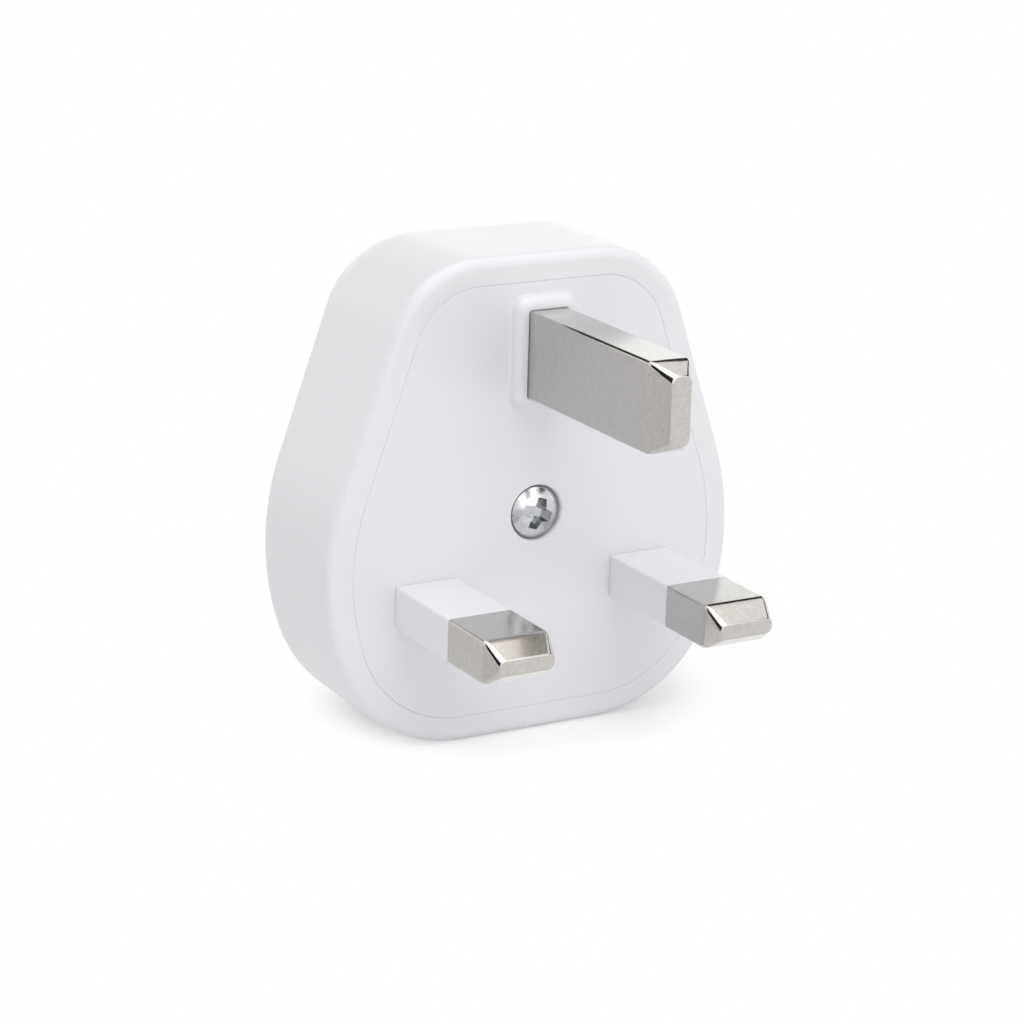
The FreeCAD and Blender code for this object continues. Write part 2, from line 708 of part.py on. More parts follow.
def live_pin(doc):
    """The live pin, whose flat foot behind the base carries the lower fuse clip."""
    body = sleeved_pin(doc, "live_pin", "-1 * pin_spacing / 2")
    foot = new_sketch(body, "foot_shape", depth="base_thickness")
    up = f"( {FOOT_HIGH} - pin_line )"
    rectangle(foot, "foot_shift", f"( {up} - foot_down ) / 2", "foot_width", f"{up} + foot_down")
    pad(body, foot, "foot", "foot_thickness")
    bevel_edges(body, "foot_corners", "block_round", runs_to(amount(doc, FOOT_TOP)))
    hole = new_sketch(body, "rivet_hole", depth=FOOT_TOP)
    circle(hole, "fuse_shift", f"{LOWER_RIVET} - pin_line", "rivet_radius + rivet_fit")
    pocket(body, hole, "rivet_hole_cut", "foot_thickness / 2", inward=False)
    return body


def sleeve(doc, label, across):
    """The insulating sleeve moulded round a pin's neck, flush with the pin's contact end."""
    body = new_body(doc, label, across=across, height="pin_line")
    tube = new_sketch(body, "sleeve_shape", depth="-1 * sleeve_reach")
    rectangle(tube, "0", "0", "line_width", "line_height")
    pad(body, tube, "sleeve_block", "sleeve_reach + sleeve_root")
    bevel_edges(body, "sleeve_edges", "pin_edge", along_depth)
    bore = new_sketch(body, "sleeve_bore", depth="-1 * sleeve_reach")
    rectangle(bore, "0", "0", "line_width - 2 * sleeve_wall", "line_height - 2 * sleeve_wall")
    pocket(body, bore, "sleeve_bore_cut", "sleeve_reach + sleeve_root")
    return body


def terminal_screw(doc, label, across, height, back):
    """A slotted terminal screw driven in from the back, its point in the wire hole."""
    body = new_body(doc, label, across=across, depth=f"{back} + terminal_head_gap", height=height)
    shape = new_sketch(body, "screw_profile", "XY_Plane")
    polygon(shape, [
        ("0", "-1 * terminal_screw_length"),
        ("terminal_screw_radius", "-1 * terminal_screw_length"),
        ("terminal_screw_radius", "0"),
        ("terminal_head_radius", "0"),
        ("terminal_head_radius", "terminal_head_height"),
        ("0", "terminal_head_height"),
    ])
    revolve(body, shape, "screw_turn")
    slot = new_sketch(body, "slot_shape", depth="terminal_head_height")
    rectangle(slot, "0", "0", "2 * terminal_head_radius", "slot_width")
    pocket(body, slot, "slot", "slot_depth", inward=False)
    return body


def cover_screw(doc):
    """The captive cover screw: a domed head in the base's recess, with a cross recess, and a plain shank."""
    body = new_body(doc, "cover_screw", depth="head_recess_depth", height=SCREW_HEIGHT)
    shape = new_sketch(body, "shank_profile", "XY_Plane")
    polygon(shape, [
        ("0", "-1 * head_rim"),
        ("head_radius", "-1 * head_rim"),
        ("head_radius", "0"),
        ("screw_radius", "0"),
        ("screw_radius", "screw_length"),
        ("0", "screw_length"),
    ])
    revolve(body, shape, "shank_turn")
    dome = new_sketch(body, "dome_profile", "XY_Plane")
    dome_profile(dome)
    revolve(body, dome, "dome_turn")
    cross = new_sketch(body, "cross_shape", depth="-1 * ( head_rim + head_dome )")
    cross_outline(cross)
    pocket(body, cross, "cross_cut", "cross_depth")
    bevel_edges(body, "shank_end", "pin_edge", flat_at(amount(doc, "screw_length")))
    return body


def dome_profile(sketch):
    """Half of the head's dome: an arc from the rim to the crown, closed along the rim plane and the axis."""
    doc = sketch.Document
    rim = amount(doc, "head_rim")
    rise = amount(doc, "head_dome")
    reach = amount(doc, "head_radius")
    radius = (reach ** 2 + rise ** 2) / (2 * rise)
    centre = Vector(0, radius - rise - rim, 0)
    start = -math.pi / 2
    end = start + math.asin(reach / radius)
    ring = Part.Circle(centre, Vector(0, 0, 1), radius)
    arc = sketch.addGeometry(Part.ArcOfCircle(ring, start, end))
    base_line = sketch.addGeometry(Part.LineSegment(Vector(reach, -rim, 0), Vector(0, -rim, 0)))
    axis_line = sketch.addGeometry(Part.LineSegment(Vector(0, -rim, 0), Vector(0, -rim - rise, 0)))
    for join in [(arc, 2, base_line, 1), (base_line, 2, axis_line, 1), (axis_line, 2, arc, 1)]:
        sketch.addConstraint(Sketcher.Constraint("Coincident", *join))
    sketch.addConstraint(Sketcher.Constraint("Horizontal", base_line))
    sketch.addConstraint(Sketcher.Constraint("PointOnObject", axis_line, 1, -2))
    sketch.addConstraint(Sketcher.Constraint("PointOnObject", arc, 3, -2))
    sketch.addConstraint(Sketcher.Constraint("PointOnObject", axis_line, 2, -2))
    bind(sketch, "DistanceX", (-1, 1, arc, 2), "head_radius")
    bind(sketch, "DistanceY", (base_line, 1, -1, 1), "head_rim")
    bind(sketch, "DistanceY", (axis_line, 2, axis_line, 1), "head_dome")


def cross_outline(sketch):
    """The plus-shaped outline of the driver recess."""
    arm = "cross_span / 2"
    half = "cross_width / 2"
    corners = [(arm, half), (half, half), (half, arm)]
    polygon(sketch, corners
            + [(f"-1 * {across}", up) for across, up in reversed(corners)]
            + [(f"-1 * {across}", f"-1 * {up}") for across, up in corners]
            + [(across, f"-1 * {up}") for across, up in reversed(corners)])


def ring(doc, label, depth, outer, inner, length):
    """A plain ring about the cover screw's axis."""
    body = new_body(doc, label, depth=depth, height=SCREW_HEIGHT)
    shape = new_sketch(body, "ring_shape")
    circle(shape, "0", "0", outer)
    circle(shape, "0", "0", inner)
    pad(body, shape, "ring_wall", length)
    return body


def screw_washer(doc):
    """The captive washer pushed on the shank behind the base."""
    return ring(doc, "screw_washer", f"{BASE_BOSS_END} + boss_gap", "washer_radius",
                "screw_radius + thread_fit", "washer_thickness")


def cover_insert(doc):
    """The brass insert pressed into the cover's boss."""
    start = f"{COVER_BOSS_START} + washer_thickness + washer_room"
    return ring(doc, "cover_insert", start, "insert_radius", "screw_radius + thread_fit", "insert_length")


def live_terminal(doc):
    """The live terminal block, fixed to the upper clip's strip by its own swaged spigot."""
    body = new_body(doc, "live_terminal", across=f"-1 * ( {TERMINAL_ACROSS} )", height=TERMINAL_LOW)
    block = new_sketch(body, "block_shape", depth=f"{FOOT_TOP} + clip_thickness")
    rectangle(block, "0", "terminal_height / 2", "terminal_width", "terminal_height")
    pad(body, block, "block", "terminal_depth")
    bevel_edges(body, "block_corners", "block_round", along_depth)
    terminal_holes(body, "0", "0", "terminal_screw_rise", TERMINAL_BACK)
    spigot = new_sketch(body, "spigot_circle", depth=FOOT_TOP)
    rise = f"{SPIGOT_AT} - ( {TERMINAL_LOW} )"
    circle(spigot, "0", rise, "spigot_radius")
    pad(body, spigot, "spigot", "clip_thickness")
    swage = new_sketch(body, "swage_circle", depth=FOOT_TOP)
    circle(swage, "0", rise, "spigot_radius + spigot_edge")
    pad(body, swage, "swage", "rivet_rise", inward=False)
    return body


def fuse_part(doc, label, height, start, length, radius):
    """A round piece on the fuse's axis, from a start above its own place and with its length along +Z."""
    body = new_body(doc, label, across=f"-1 * ( {FUSE_ACROSS} )", depth=FUSE_DEPTH, height=height)
    shape = new_sketch(body, "round_shape", "XY_Plane", depth=start)
    circle(shape, "0", "0", radius)
    pad(body, shape, "round", length, inward=False)
    return body


def fuse_body(doc):
    """The ceramic body of the fuse, a filled tube that stays one piece."""
    return fuse_part(doc, "fuse_body", FUSE_BOTTOM, "fuse_cap_wall", "fuse_length - 2 * fuse_cap_wall",
                     "fuse_radius - fuse_cap_wall - fuse_tube_fit")


def fuse_cap(doc, label, height, open_end):
    """A drawn end cap of the fuse, open at its top for the lower cap and at its bottom for the upper."""
    body = fuse_part(doc, label, height, "0", "fuse_cap_length", "fuse_radius")
    bore = new_sketch(body, "cap_bore", "XY_Plane", depth=open_end)
    circle(bore, "0", "0", "fuse_radius - fuse_cap_wall")
    pocket(body, bore, "cap_bore_cut", "fuse_cap_length - fuse_cap_wall", inward=open_end != "0")
    return body


def clip_ring(sketch):
    """The clip's section: an open ring round the fuse, its gap towards the back of the plug."""
    doc = sketch.Document
    inner = amount(doc, "fuse_radius + clip_fit")
    outer = inner + amount(doc, "clip_thickness")
    gap = math.radians(amount(doc, "clip_opening"))
    start = math.pi / 2 + gap
    end = math.pi / 2 - gap + 2 * math.pi
    first, last = (Vector(math.cos(angle), math.sin(angle), 0) for angle in (start, end))
    axis = Vector(0, 0, 1)
    inner_arc = sketch.addGeometry(Part.ArcOfCircle(Part.Circle(Vector(), axis, inner), start, end))
    outer_arc = sketch.addGeometry(Part.ArcOfCircle(Part.Circle(Vector(), axis, outer), start, end))
    left = sketch.addGeometry(Part.LineSegment(first * inner, first * outer))
    right = sketch.addGeometry(Part.LineSegment(last * inner, last * outer))
    joins = [
        (inner_arc, 1, left, 1), (left, 2, outer_arc, 1),
        (inner_arc, 2, right, 1), (right, 2, outer_arc, 2),
    ]
    for join in joins:
        sketch.addConstraint(Sketcher.Constraint("Coincident", *join))
    for arc in (inner_arc, outer_arc):
        sketch.addConstraint(Sketcher.Constraint("Coincident", arc, 3, -1, 1))
    bind(sketch, "Radius", (inner_arc,), "fuse_radius + clip_fit")
    bind(sketch, "Radius", (outer_arc,), CLIP_RADIUS)
    bind(sketch, "Angle", (left,), "90 + clip_opening")
    bind(sketch, "Angle", (right,), "90 - clip_opening")


def fuse_clip(doc, label, low):
    """A spring clip round one fuse cap; its place is on the fuse's axis at the ring's lower end."""
    body = new_body(doc, label, across=f"-1 * ( {FUSE_ACROSS} )", depth=FUSE_DEPTH, height=low)
    ring_section = new_sketch(body, "ring_section", "XY_Plane")
    clip_ring(ring_section)
    pad(body, ring_section, "clip_ring", "clip_width", inward=False)
    return body


def clip_tab(body, name, left, right, low, high):
    """A flat strip under the clip's ring, between two places across and two heights."""
    strip = new_sketch(body, f"{name}_shape", depth=STRIP_FRONT)
    rectangle(strip, f"( ( {left} ) + ( {right} ) ) / 2", f"( ( {low} ) + ( {high} ) ) / 2",
              f"( {right} ) - ( {left} )", f"( {high} ) - ( {low} )")
    pad(body, strip, name, "clip_thickness")


def lower_fuse_clip(doc):
    """The clip on the live pin's foot, with a strip for its rivet."""
    body = fuse_clip(doc, "lower_fuse_clip", LOWER_CLIP)
    high = f"{FOOT_HIGH} - ( {LOWER_CLIP} )"
    clip_tab(body, "rivet_tab", "-1 * clip_strip / 2", "clip_strip / 2", "0", high)
    hole = new_sketch(body, "rivet_hole", depth=STRIP_FRONT)
    circle(hole, "0", f"{LOWER_RIVET} - ( {LOWER_CLIP} )", "rivet_radius + rivet_fit")
    pocket(body, hole, "rivet_hole_cut", "clip_thickness")
    return body


def upper_fuse_clip(doc):
    """The clip on the base's plinth, with a strip that runs inwards under the live terminal."""
    body = fuse_clip(doc, "upper_fuse_clip", UPPER_CLIP)
    low = f"{TERMINAL_LOW} - ( {UPPER_CLIP} )"
    clip_tab(body, "ring_tab", "-1 * clip_strip / 2", "clip_strip / 2", low, "clip_width")
    terminal_at = f"{FUSE_ACROSS} - ( {TERMINAL_ACROSS} )"
    right = f"{terminal_at} + terminal_width / 2"
    clip_tab(body, "terminal_tab", "-1 * clip_strip / 2", right, low, f"{low} + terminal_height")
    hole = new_sketch(body, "spigot_hole", depth=STRIP_FRONT)
    circle(hole, terminal_at, f"{SPIGOT_AT} - ( {UPPER_CLIP} )", "spigot_radius + spigot_fit")
    pocket(body, hole, "spigot_hole_cut", "clip_thickness")
    return body


def clip_rivet(doc):
    """The flat-headed rivet that fixes the lower clip to the live pin's foot."""
    body = new_body(doc, "clip_rivet", across=f"-1 * ( {FUSE_ACROSS} )", depth=f"{FOOT_TOP} + clip_thickness",
                    height=LOWER_RIVET)
    shape = new_sketch(body, "rivet_profile", "XY_Plane")
    end = "-1 * ( clip_thickness + foot_thickness / 2 )"
    polygon(shape, [
        ("0", end),
        ("rivet_radius", end),
        ("rivet_radius", "0"),
        ("rivet_head_radius", "0"),
        ("rivet_head_radius", "rivet_rise"),
        ("0", "rivet_rise"),
    ])
    revolve(body, shape, "rivet_turn")
    return body


def cord_grip(doc):
    """The clamp bar over the cord: two flat ears and an arch."""
    body = new_body(doc, "cord_grip", depth="entry_depth", height=GRIP_BOTTOM)
    ears = new_sketch(body, "ear_shape", "XY_Plane")
    rectangle(ears, "0", "grip_ear / 2", "grip_span", "grip_ear")
    pad(body, ears, "ears", "grip_height", inward=False)
    arch = new_sketch(body, "arch_shape", "XY_Plane")
    half_disc(arch, "grip_radius + grip_wall")
    pad(body, arch, "arch", "grip_height", inward=False)
    hollow = new_sketch(body, "arch_hollow", "XY_Plane", depth="grip_height")
    circle(hollow, "0", "0", "grip_radius")
    pocket(body, hollow, "arch_hollow_cut", "grip_height")
    ends = amount(doc, "grip_span / 2")
    bevel_edges(body, "ear_ends", "block_round", lambda box: along_depth(box) and near(abs(box.XMin), ends))
    holes = new_sketch(body, "ear_holes")
    for side in ("-1", "1"):
        circle(holes, f"{side} * grip_screw_across", "grip_height / 2", "grip_screw_radius + grip_hole_fit")
    pocket(body, holes, "ear_holes_cut", "grip_ear")
    return body


def half_disc(sketch, radius):
    """A half disc on the +Y side of the origin."""
    size = amount(sketch.Document, radius)
    ring_shape = Part.Circle(Vector(), Vector(0, 0, 1), size)
    arc = sketch.addGeometry(Part.ArcOfCircle(ring_shape, 0, math.pi))
    line = sketch.addGeometry(Part.LineSegment(Vector(-size, 0, 0), Vector(size, 0, 0)))
    sketch.addConstraint(Sketcher.Constraint("Coincident", arc, 2, line, 1))
    sketch.addConstraint(Sketcher.Constraint("Coincident", line, 2, arc, 1))
    sketch.addConstraint(Sketcher.Constraint("Coincident", arc, 3, -1, 1))
    sketch.addConstraint(Sketcher.Constraint("Horizontal", line))
    bind(sketch, "Radius", (arc,), radius)


def grip_screw(doc, label, side):
    """A slotted screw through one ear of the cord grip into the saddle."""
    body = new_body(doc, label, across=f"{side} * grip_screw_across", depth="entry_depth + grip_ear",
                    height=f"{GRIP_BOTTOM} + grip_height / 2")
    shape = new_sketch(body, "screw_profile", "XY_Plane")
    polygon(shape, [
        ("0", "-1 * grip_screw_length"),
        ("grip_screw_radius", "-1 * grip_screw_length"),
        ("grip_screw_radius", "0"),
        ("grip_head_radius", "0"),
        ("grip_head_radius", "grip_head_height"),
        ("0", "grip_head_height"),
    ])
    revolve(body, shape, "screw_turn")
    slot = new_sketch(body, "slot_shape", depth="grip_head_height")
    rectangle(slot, "0", "0", "2 * grip_head_radius", "slot_width")
    pocket(body, slot, "slot", "slot_depth", inward=False)
    return body


def check(doc, bodies):
    """Stops when any object of the document failed, or a body is empty or not one valid solid."""
    for item in doc.Objects:
        if "Invalid" in item.State or "Error" in item.State:
            raise RuntimeError(f"{item.Label} failed: {item.State}")
    for body in bodies:
        shape = body.Shape
        if shape.isNull() or not shape.isValid() or len(shape.Solids) != 1:
            raise RuntimeError(f"{body.Label} is not one valid solid")


def build():
    """Makes every sub-part in one document, checks it and writes one STEP file for each body."""
    doc = FreeCAD.newDocument("plug")
    size_sheet(doc)
    neutral_screw_height = "pin_line + neutral_block_up - wire_hole - block_side"
    bodies = [
        cover(doc),
        base(doc),
        cover_screw(doc),
        screw_washer(doc),
        cover_insert(doc),
        earth_pin(doc),
        neutral_pin(doc),
        live_pin(doc),
        sleeve(doc, "neutral_sleeve", "pin_spacing / 2"),
        sleeve(doc, "live_sleeve", "-1 * pin_spacing / 2"),
        terminal_screw(doc, "earth_terminal_screw", "0", EARTH_LINE, BLOCK_BACK),
        terminal_screw(doc, "neutral_terminal_screw", "pin_spacing / 2", neutral_screw_height, BLOCK_BACK),
        live_terminal(doc),
        terminal_screw(doc, "live_terminal_screw", f"-1 * ( {TERMINAL_ACROSS} )",
                       f"{TERMINAL_LOW} + terminal_screw_rise", TERMINAL_BACK),
        fuse_body(doc),
        fuse_cap(doc, "lower_fuse_cap", FUSE_BOTTOM, "fuse_cap_length"),
        fuse_cap(doc, "upper_fuse_cap", f"{FUSE_BOTTOM} + fuse_length - fuse_cap_length", "0"),
        lower_fuse_clip(doc),
        upper_fuse_clip(doc),
        clip_rivet(doc),
        cord_grip(doc),
        grip_screw(doc, "left_grip_screw", "-1"),
        grip_screw(doc, "right_grip_screw", "1"),
    ]
    doc.recompute()
    check(doc, bodies)
    os.makedirs("parts", exist_ok=True)
    for body in bodies:
        body.Shape.exportStep(f"parts/{body.Label}.step")
        print(body.Label, round(body.Shape.Volume, 2))


build()
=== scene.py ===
"""Looks of the three-pin plug: white plastic, plated pins, and the brass, zinc and ceramic parts inside.

Metres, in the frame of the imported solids. The photograph is taken as 1024 by 1024 pixels.
"""
import math

import bmesh
import bpy
from mathutils import Matrix, Vector

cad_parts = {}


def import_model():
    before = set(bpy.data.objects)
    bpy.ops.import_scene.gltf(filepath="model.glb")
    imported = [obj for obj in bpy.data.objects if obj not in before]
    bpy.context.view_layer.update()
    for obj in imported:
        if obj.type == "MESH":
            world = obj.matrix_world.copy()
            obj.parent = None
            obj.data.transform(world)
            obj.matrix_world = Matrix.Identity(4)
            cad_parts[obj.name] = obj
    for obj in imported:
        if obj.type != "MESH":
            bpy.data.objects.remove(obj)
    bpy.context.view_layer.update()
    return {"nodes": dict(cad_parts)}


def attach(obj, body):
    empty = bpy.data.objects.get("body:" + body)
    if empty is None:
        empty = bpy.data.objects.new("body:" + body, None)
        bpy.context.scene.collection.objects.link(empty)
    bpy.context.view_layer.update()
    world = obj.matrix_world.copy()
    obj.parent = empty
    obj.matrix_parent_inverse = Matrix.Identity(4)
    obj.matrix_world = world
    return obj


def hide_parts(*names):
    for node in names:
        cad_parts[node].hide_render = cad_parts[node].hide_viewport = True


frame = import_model()

MM = 0.001
QUARTER = math.pi / 2

# The camera, fitted to the photograph: angles in degrees, lengths in millimetres, focal length in pixels
CAMERA = {
    "azimuth": -29.78,
    "elevation": 16.836,
    "roll": 1.577,
    "distance": 278.884,
    "target": (-2.597, 1.9, 21.367),
    "focal": 3093.936,
}
IMAGE_PIXELS = 1024
SENSOR_WIDTH = 36.0

# Sizes of the solids that the visible pieces follow, in millimetres; depth starts at the engagement face
FACE = 1.9
PIN_LINE = 13.9
EARTH_LINE = 36.13
PIN_OFFSET = 11.115
SCREW_LINE = 20.95
EARTH_CENTRE = (0, EARTH_LINE)
LIVE_CENTRE = (-PIN_OFFSET, PIN_LINE)
NEUTRAL_CENTRE = (PIN_OFFSET, PIN_LINE)
SCREW_CENTRE = (0, SCREW_LINE)
TOP = 44.9
HALF_WIDTH = 20.897
WIDEST = 16.85
SIDE_RADIUS = 25.3
SIDE_LEAN = math.radians(19)
TOP_CORNER = 9.05
BOTTOM_CORNER = 13.05
BODY_DEPTH = 19.4
WALL_DEPTH = 12.2
COVER_WALL = 3.2
BACK_WALL = 2.6
HOLLOW_TAPER = 2.4
RIM = 2.43
PLATE_DEPTH = 3.0
ENTRY_DEPTH = 7.0
ENTRY_RADIUS = 3.7
SADDLE_HALF = 9.5
SADDLE_BOTTOM = 3.7
SADDLE_TOP = 7.9
SADDLE_OVERLAP = 0.1
GROOVE_RADIUS = 3.4
SHANK_HOLE = 1.95
RECESS_RADIUS = 2.6
RECESS_DEPTH = 1.2
HEAD_RADIUS = 2.4
EARTH_REACH = 23.2
LINE_REACH = 18.2
SLEEVE_REACH = 9.9
SLEEVE_ROOT = 2.2

# Half widths and half heights of the pins, of a line pin's neck and of the sleeve's bore round it
EARTH_HALF = (2.0, 4.0)
LINE_HALF = (3.175, 2.0)
NECK_HALF = (2.3, 1.15)
BORE_HALF = (2.375, 1.2)

# Blocks behind the pins: reach left, right, down and up of the pin's centre, and the depth of the back
EARTH_BLOCK = ((3.7, 3.7, 4.2, 4.3), 10.0)
NEUTRAL_BLOCK = ((3.67, 3.67, 3.0, 5.0), 10.0)
LIVE_BLOCK = ((3.085, 4.695, 5.4, 4.4), 5.2)

# Parts of the visible pieces that the solids have as bevels or plain edges
SEAM = 0.008
SEAM_EASE = 0.06
RIM_EASE = 1.0
COLLAR_MARGIN = 1.15
COLLAR_CORNER = 1.25
COLLAR_RISE = 1.2
COLLAR_FOOT = 0.25
COLLAR_ROOT = 0.4
COLLAR_SINK = 0.02
COLLAR_EASE = 0.95
PIN_EASE = 0.28
PIN_GAP = 0.01
EARTH_LIP = 0.08
LINE_LIP = 0.02
LIP_FLARE = 0.8
TIP_LENGTH = 1.9
TIP_BLEND = 0.4
TIP_CORNER = 0.8
TIP_CORNER_SHARE = 0.92
END_EASE = 0.1
BORE_CORNER = 0.05
LEAST_CORNER = 0.01

# How far each pin's section draws in at the tip, from each side and from above and below
EARTH_TIP = (1.0, 0.9)
LINE_TIP = (0.45, 1.3)

# Depths between which a cutter goes right through the plate or a sleeve
CUT_START = -1.0
CUT_END = 4.0

# Depth and inset of the four points that steer the curve of the back
BACK_CURVE = ((WALL_DEPTH, 0), (15.0, 0), (18.9, 3.3), (BODY_DEPTH, 7.2))

# Mouths of the cord entry and of the screw's recess: depth past the edge, and width beyond the radius
ENTRY_MOUTH = ((-0.5, 1.0), (0.0, 0.45), (0.08, 0.25), (0.22, 0.08), (0.45, 0.0), (4.2, 0.0))
RECESS_MOUTH = ((-0.4, 0.6), (0.0, 0.16), (0.06, 0.07), (0.16, 0.01), (RECESS_DEPTH, 0.0))

# Where a sleeve ends: distance before its outer end, and growth of its section
SLEEVE_END = ((0.1, 0.0), (0.03, -0.03), (0.0, -0.08))

# The screw's shank and the side of its head, as depth and radius
SCREW_SIDE = ((11.7, 1.5), (11.5, 1.7), (1.2, 1.7), (1.2, 2.3), (1.1, HEAD_RADIUS), (0.42, HEAD_RADIUS))

# The head's dome: its rise and top, its share of the sphere's width, and the angle where it goes flat
HEAD_DOME = 0.75
HEAD_TOP = -0.42
DOME_SHARE = 0.992
DOME_END = 0.04

# The driver's cross: depth, reach and half width of a bar's two ends, its turn, and the narrowing of its arms
SCREW_CROSS = ((-1.2, 2.0, 0.86), (0.8, 1.0, 0.44))
CROSS_TURN = math.radians(-20)
CROSS_TAPER = 0.7

# Shading breaks at edges sharper than these angles, in degrees
CRISP = 32
PIN_CRISP = 50
SCREW_CRISP = 28

# Settings that the finishes share: clear coat, gloss and grain, and the spans of noise that count
COAT_ROUGHNESS = 0.14
COAT_INDEX = 2.1
SPECULAR_LEVEL = 0.36
GRAIN_STRENGTH = 0.3
GRAIN_DETAIL = 4.0
DRIFT_DETAIL = 3.0
ROUGH_SPAN = (0.3, 0.7)
COLOUR_SPAN = (0.35, 0.65)

# The floor, in metres: its height just under the plug, its half size, and its colour for scattered light
FLOOR_HEIGHT = -0.00002
FLOOR_HALF = 3.0
FLOOR_COLOUR = (0.88, 0.88, 0.89, 1)

# The oval that shows the plug's shadow: its matt colour and glow, how it is squeezed, and where it fades out
SHADE_COLOUR = (0.66, 0.66, 0.66, 1)
SHADE_GLOW = 0.38
SHADE_SCALE = (0.85, 1, 1)
SHADE_CENTRE = (0.0035, 0.0119, 0)
SHADE_FULL = 0.0123
SHADE_GONE = 0.0185

# Strengths of the world for the camera, for reflections and for all other light
WORLD_STRENGTHS = (1.0, 1.3, 0.52)

# Arcs of dim room that metal reflects: two angles in degrees and two heights in metres
ARC_STEPS = 16
ARC_SHADE = 0.01
DARK_ARCS = {
    "dim_room_behind": (32, 74, 0.43, 1.11),
    "dim_room_corner": (74, 128, 0.43, 0.84),
    "dim_room_left": (170, 234, 0.12, 1.45),
    "dim_room_front": (-55, 32, 0.47, 0.80),
}

# Parts of the table that metal reflects in another shade: left, front, right, back in metres, and the shade
CARD_HEIGHT = 0.0001
TABLE_CARDS = {
    "grey_table": (-0.6, -0.4, -0.028, 0.5, 0.85),
    "lit_table": (-0.02, -0.6, 0.5, -0.03, 1.15),
}

# Lamps: place and width in metres, power in watts, and whether metal reflects them
LAMP_TARGET = (0, 0, 0.02)
LAMPS = {
    "overhead": ((-0.08, -0.12, 0.75), 0.8, 2.9, True),
    "front_fill": ((0.12, -0.70, 0.32), 0.9, 1.6, True),
    "back_fill": ((0.05, 0.70, 0.40), 0.9, 0.5, False),
}


def place_camera():
    """The photograph's camera: behind the target along its own axis, turned a little about that axis."""
    azimuth, elevation, roll = (math.radians(CAMERA[key]) for key in ("azimuth", "elevation", "roll"))
    back = Vector((math.sin(azimuth) * math.cos(elevation),
                   -math.cos(azimuth) * math.cos(elevation),
                   math.sin(elevation)))
    level = Vector((math.cos(azimuth), math.sin(azimuth), 0))
    upright = back.cross(level)
    right = level * math.cos(roll) + upright * math.sin(roll)
    up = upright * math.cos(roll) - level * math.sin(roll)
    data = bpy.data.cameras.new("photo_camera")
    data.sensor_width = SENSOR_WIDTH
    data.lens = CAMERA["focal"] * SENSOR_WIDTH / IMAGE_PIXELS
    data.clip_start = 0.01
    data.clip_end = 20
    camera = add_object("photo_camera", data)
    turn = Matrix((right, up, back)).transposed().to_4x4()
    place = (Vector(CAMERA["target"]) + back * CAMERA["distance"]) * MM
    camera.matrix_world = Matrix.Translation(place) @ turn
    bpy.context.scene.camera = camera


def add_object(name, data):
    """An object in the scene from its data."""
    piece = bpy.data.objects.new(name, data)
    bpy.context.collection.objects.link(piece)
    return piece


def emptied_tree(owner):
    """The node tree of a material or a world, without its first nodes."""
    owner.use_nodes = True
    owner.node_tree.nodes.clear()
    return owner.node_tree


def add(tree, kind, **settings):
    """A new node with its settings."""
    node = tree.nodes.new(kind)
    for key, value in settings.items():
        setattr(node, key, value)
    return node


def link(tree, source, target):
    """A link from an output to an input."""
    tree.links.new(source, target)


def noise(tree, coordinates, scale, detail, stretch=(1, 1, 1)):
    """Fine noise in the object's own space; scale is in waves per metre."""
    mapping = add(tree, "ShaderNodeMapping")
    mapping.inputs["Scale"].default_value = stretch
    texture = add(tree, "ShaderNodeTexNoise")
    texture.inputs["Scale"].default_value = scale
    texture.inputs["Detail"].default_value = detail
    link(tree, coordinates, mapping.inputs["Vector"])
    link(tree, mapping.outputs["Vector"], texture.inputs["Vector"])
    return texture.outputs["Fac"]


def ramp(tree, value, low, high):
    """The value mapped from its span onto the range from low to high."""
    spread = add(tree, "ShaderNodeMapRange")
    spread.inputs["From Min"].default_value = ROUGH_SPAN[0]
    spread.inputs["From Max"].default_value = ROUGH_SPAN[1]
    spread.inputs["To Min"].default_value = low
    spread.inputs["To Max"].default_value = high
    link(tree, value, spread.inputs["Value"])
    return spread.outputs["Result"]


def blend(tree, value, first, second):
    """A colour between two, by where the value lies in its span."""
    colours = add(tree, "ShaderNodeValToRGB")
    for stop, position, colour in zip(colours.color_ramp.elements, COLOUR_SPAN, (first, second)):
        stop.position = position
        stop.color = (*colour, 1)
    link(tree, value, colours.inputs["Fac"])
    return colours.outputs["Color"]


